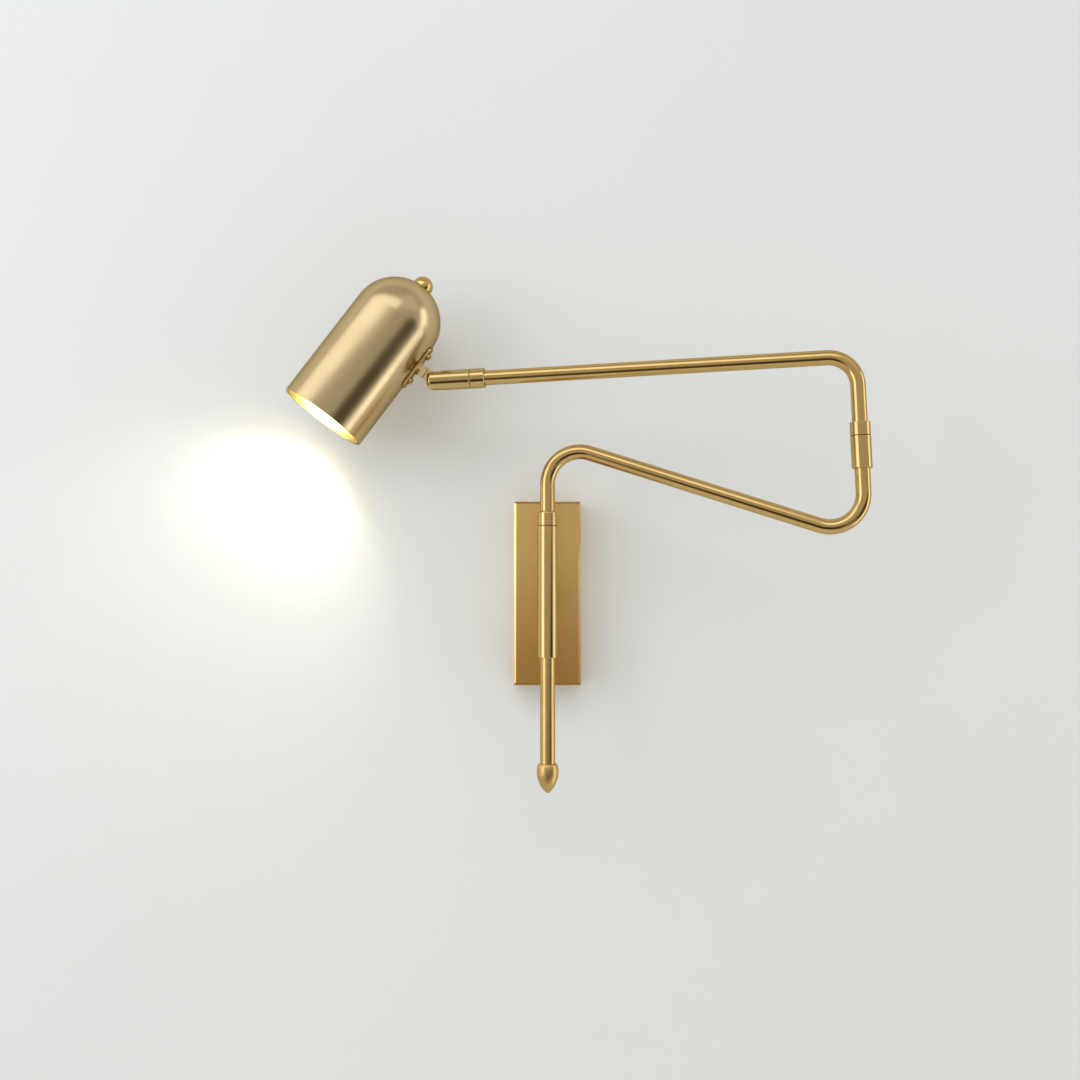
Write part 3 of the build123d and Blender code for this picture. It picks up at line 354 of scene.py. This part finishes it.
plasticFinish = {
    "seamWasher": dict(colour=rgb(0.02, 0.016, 0.012), deep=rgb(0.035, 0.028, 0.02), roughness=0.55),
    "whiteNylon": dict(colour=rgb(0.80, 0.79, 0.75), deep=rgb(0.74, 0.73, 0.69), roughness=0.45),
    "cableJacket": dict(colour=rgb(0.30, 0.24, 0.17), deep=rgb(0.24, 0.19, 0.13), roughness=0.5),
    "holderPlastic": dict(colour=rgb(0.03, 0.027, 0.025), deep=rgb(0.05, 0.046, 0.042), roughness=0.3),
}
plasticLook = dict(patch=70.0, spread=0.08, depth=0.05 * mm, bump=0.15)


def makePlastic(name):
    finish = plasticFinish[name]
    material, tree, shader, place = newMaterial(name)
    patches = placeGroup(tree, patchGroup, Vector=place, Scale=plasticLook["patch"])
    colour = mixColour(tree, patches["Patch"], finish["colour"], finish["deep"])
    fill(tree, shader.inputs["Base Color"], colour)
    smooth = finish["roughness"]
    rough = smoothRange(tree, patches["Patch"], 0, 1, smooth, smooth + plasticLook["spread"])
    fill(tree, shader.inputs["Roughness"], rough)
    addBump(tree, shader, patches["Speck"], plasticLook["depth"], plasticLook["bump"])
    return material


# opal glass, lit most at the globe's end
glassLook = dict(colour=rgb(1.0, 0.95, 0.86), deep=rgb(1.0, 0.93, 0.82), patch=40.0, roughness=0.3,
                 glow=rgb(1.0, 0.95, 0.85), pale=rgb(1.0, 0.96, 0.88), strength=72.0,
                 neck=rgb(0.14, 0.128, 0.108), tip=(44.0 * mm, 26.0 * mm))


def makeLitGlass(name):
    material, tree, shader, place = newMaterial(name)
    patch = placeGroup(tree, patchGroup, Vector=place, Scale=glassLook["patch"])["Patch"]
    fill(tree, shader.inputs["Base Color"], mixColour(tree, patch, glassLook["colour"], glassLook["deep"]))
    shader.inputs["Roughness"].default_value = glassLook["roughness"]
    tip = smoothRange(tree, shadeHeight(tree, place)[1], *glassLook["tip"])
    glow = mixColour(tree, patch, glassLook["glow"], glassLook["pale"])
    fill(tree, shader.inputs["Emission Color"], mixColour(tree, tip, glassLook["neck"], glow))
    shader.inputs["Emission Strength"].default_value = glassLook["strength"]
    return material


# each brass with its finish and the direction it was turned or brushed in
brassMade = {
    "shadeBrass": ("shade", shadeAxis),
    "lowerRodBrass": ("rod", lowerAxis),
    "upperRodBrass": ("rod", runAxis),
    "uprightTurnedBrass": ("turned", legAxis),
    "levelTurnedBrass": ("barrel", runAxis),
    "acornBrass": ("acorn", up),
    "plateBrass": ("plate", up),
    "fittingBrass": ("fitting", shadeAxis),
    "blockBrass": ("block", shadeAxis),
    "knobBrass": ("knob", shadeAxis),
}
slotFinish = {
    "rod_brass": "uprightTurnedBrass", "shade_brass": "shadeBrass", "plate_brass": "plateBrass",
    "fitting_brass": "fittingBrass", "zinc_steel": "zincSteel", "dark_steel": "blackSteel",
    "dark_washer": "seamWasher", "white_plastic": "whiteNylon", "cable_jacket": "cableJacket",
    "holder_plastic": "holderPlastic", "bulb_metal": "bulbMetal", "opal_glass": "litOpalGlass",
}
ownFinish = {
    "lower_arm_tube": "lowerRodBrass", "upper_arm_tube": "upperRodBrass", "cap_nut": "knobBrass",
    "finial": "acornBrass", "swivel_barrel": "levelTurnedBrass", "head_collar": "levelTurnedBrass",
    "knuckle": "blockBrass",
}
finishes = {name: makeBrass(name, kind, direction) for name, (kind, direction) in brassMade.items()}
finishes.update({name: makeSteel(name) for name in steelFinish})
finishes.update({name: makePlastic(name) for name in plasticFinish})
finishes["litOpalGlass"] = makeLitGlass("litOpalGlass")
for row in frame["record"]["subparts"]:
    slots = frame["nodes"][row["node"]].data.materials
    slots.clear()
    slots.append(finishes[ownFinish.get(row["node"], slotFinish[row["material_slot"]])])
print("finishes on", len(frame["nodes"]), "nodes")


# pale wall behind the lamp with an opening for the wires, and a floor under it
wallLook = dict(size=8.0, gap=0.6 * mm, opening=(48 * mm, 144 * mm), floor=-2.1, colour=rgb(0.93, 0.93, 0.89),
                deep=rgb(0.91, 0.91, 0.87), patch=1.3, roughness=0.9, gloss=0.2)


def makePaint(name, oneSided):
    material, tree, shader, place = newMaterial(name)
    patch = placeGroup(tree, patchGroup, Vector=place, Scale=wallLook["patch"])["Patch"]
    fill(tree, shader.inputs["Base Color"], mixColour(tree, patch, wallLook["colour"], wallLook["deep"]))
    shader.inputs["Roughness"].default_value = wallLook["roughness"]
    shader.inputs["Specular IOR Level"].default_value = wallLook["gloss"]
    if oneSided:  # clear from behind, so the lamp's back can be looked at
        output = next(n for n in tree.nodes if n.type == "OUTPUT_MATERIAL")
        mix = addNode(tree, "ShaderNodeMixShader")
        fill(tree, mix.inputs[0], addNode(tree, "ShaderNodeNewGeometry").outputs["Backfacing"])
        fill(tree, mix.inputs[1], shader.outputs[0])
        fill(tree, mix.inputs[2], addNode(tree, "ShaderNodeBsdfTransparent").outputs[0])
        fill(tree, output.inputs["Surface"], mix.outputs[0])
    return material


def finishStage(name, oneSided):
    plane = bpy.context.object
    plane.name = name
    bpy.ops.object.transform_apply(location=True, rotation=True, scale=True)
    plane.data.materials.append(makePaint(name + "Paint", oneSided))
    plane.select_set(False)


# the opening's edges are drawn out to the wall's size
def buildWall():
    wide, tall = wallLook["opening"]
    bpy.ops.mesh.primitive_plane_add(size=1.0)
    wall = bpy.context.object
    bpy.ops.object.mode_set(mode="EDIT")
    bpy.ops.transform.resize(value=(wide, tall, 1.0))
    bpy.ops.mesh.delete(type="ONLY_FACE")
    bpy.ops.mesh.select_all(action="SELECT")
    bpy.ops.mesh.extrude_edges_move()
    bpy.ops.transform.resize(value=(wallLook["size"] / wide, wallLook["size"] / tall, 1.0))
    bpy.ops.mesh.select_all(action="SELECT")
    bpy.ops.mesh.normals_make_consistent(inside=False)
    bpy.ops.object.mode_set(mode="OBJECT")
    if wall.data.polygons[0].normal.z < 0:
        bpy.ops.object.mode_set(mode="EDIT")
        bpy.ops.mesh.flip_normals()
        bpy.ops.object.mode_set(mode="OBJECT")
    wall.rotation_euler = (math.radians(90), 0, 0)
    wall.location = (0, wallLook["gap"], 0)
    finishStage("backWall", True)


buildWall()
bpy.ops.mesh.primitive_plane_add(size=wallLook["size"], location=(0, 0, wallLook["floor"]))
finishStage("floor", False)
print("stage built")


# soft studio light, each source given by its bearing and height as seen from the lamp, in degrees
lightPlan = {
    "top": dict(bearing=-32, height=44, turn=0, distance=2.3, size=(3.5, 1.1), power=14.2),
    "left": dict(bearing=-57, height=3, turn=90, distance=2.3, size=(1.9, 1.4), power=12.5),
    "side": dict(bearing=82, height=-8, turn=90, distance=2.3, size=(3.4, 0.8), power=12.4),
    "fill": dict(bearing=42, height=42, turn=0, distance=2.3, size=(1.5, 1.5), power=1.5),
}
roomLook = dict(level=0.54, colour=rgb(1.0, 1.0, 0.97), daylight=(0.94, 1.0, 1.12),
                lampMiddle=(-0.01, -0.07, 0.08))


# turned to face the lamp, with its long side at an angle to the horizon
def aimAtLamp(thing, plan):
    bearing, height = math.radians(plan["bearing"]), math.radians(plan["height"])
    flat = math.cos(height)
    outward = Vector((math.sin(bearing) * flat, -math.cos(bearing) * flat, math.sin(height)))
    level = up.cross(outward).normalized()
    slope = outward.cross(level)
    turn = math.radians(plan["turn"])
    long = level * math.cos(turn) + slope * math.sin(turn)
    across = outward.cross(long)
    thing.location = Vector(roomLook["lampMiddle"]) + outward * plan["distance"]
    thing.rotation_euler = Matrix((long, across, outward)).transposed().to_euler()


def addLight(name, plan):
    lamp = bpy.data.lights.new(name + "Light", "AREA")
    lamp.shape = "RECTANGLE"
    lamp.size, lamp.size_y = plan["size"]
    lamp.energy = plan["power"]
    lamp.color = roomLook["daylight"]
    holder = bpy.data.objects.new(name + "Light", lamp)
    scene.collection.objects.link(holder)
    aimAtLamp(holder, plan)
    holder.visible_camera = False


# dark card low on the right, out of the picture, that gives the polished brass its dark band
cardPlan = dict(bearing=21.2, height=-26, turn=20, distance=2.3, size=(4.45, 2.15),
                cloth=rgb(0.07, 0.047, 0.024), shade=0.99,
                ends=(0.5, 0.4), top=(0.5, 0.25), low=(-0.42, -0.24),  # soft borders, as shares of its size
                gapMiddle=0.06, gapReach=0.11, gapShade=0.35)  # a thinner stripe across it


def makeCardCloth():
    material, tree, shader, place = newMaterial("darkCardCloth")
    shader.inputs["Base Color"].default_value = cardPlan["cloth"]
    shader.inputs["Roughness"].default_value = 1.0
    shader.inputs["Specular IOR Level"].default_value = 0.0
    spot = splitPlace(tree, place)
    fromGap = calc(tree, "ABSOLUTE", calc(tree, "SUBTRACT", spot["X"], cardPlan["gapMiddle"]))
    cover = smoothRange(tree, fromGap, 0.0, cardPlan["gapReach"], cardPlan["gapShade"], cardPlan["shade"])
    fromMiddle = calc(tree, "ABSOLUTE", spot["X"])
    for value, border in ((fromMiddle, "ends"), (spot["Y"], "top"), (spot["Y"], "low")):
        cover = calc(tree, "MULTIPLY", cover, smoothRange(tree, value, *cardPlan[border]))
    fill(tree, shader.inputs["Alpha"], cover)
    return material


def addDarkCard():
    bpy.ops.mesh.primitive_plane_add(size=1.0)
    card = bpy.context.object
    card.name = "darkCard"
    aimAtLamp(card, cardPlan)
    card.scale = (*cardPlan["size"], 1.0)
    card.data.materials.append(makeCardCloth())
    for kind in ("camera", "diffuse", "shadow", "transmission"):  # seen only in reflections
        setattr(card, "visible_" + kind, False)
    card.select_set(False)


for name, plan in lightPlan.items():
    addLight(name, plan)
addDarkCard()
world = bpy.data.worlds.new("room")
scene.world = world
world.use_nodes = True
roomShader = next(n for n in world.node_tree.nodes if n.type == "BACKGROUND")
roomShader.inputs["Color"].default_value = roomLook["colour"]
roomShader.inputs["Strength"].default_value = roomLook["level"]

cameraPlan = dict(place=(-6.1 * mm, -1074.1 * mm, -23.85 * mm), tilt=3.73,
                  lens=41.62, sensor=36.0, nearest=10 * mm)
camera = bpy.data.objects.new("camera", bpy.data.cameras.new("camera"))
camera.location = cameraPlan["place"]
camera.rotation_euler = (math.radians(90 + cameraPlan["tilt"]), 0, 0)
camera.data.lens = cameraPlan["lens"]
camera.data.sensor_width = cameraPlan["sensor"]
camera.data.clip_start = cameraPlan["nearest"]
scene.collection.objects.link(camera)
scene.camera = camera
print("light and camera set")
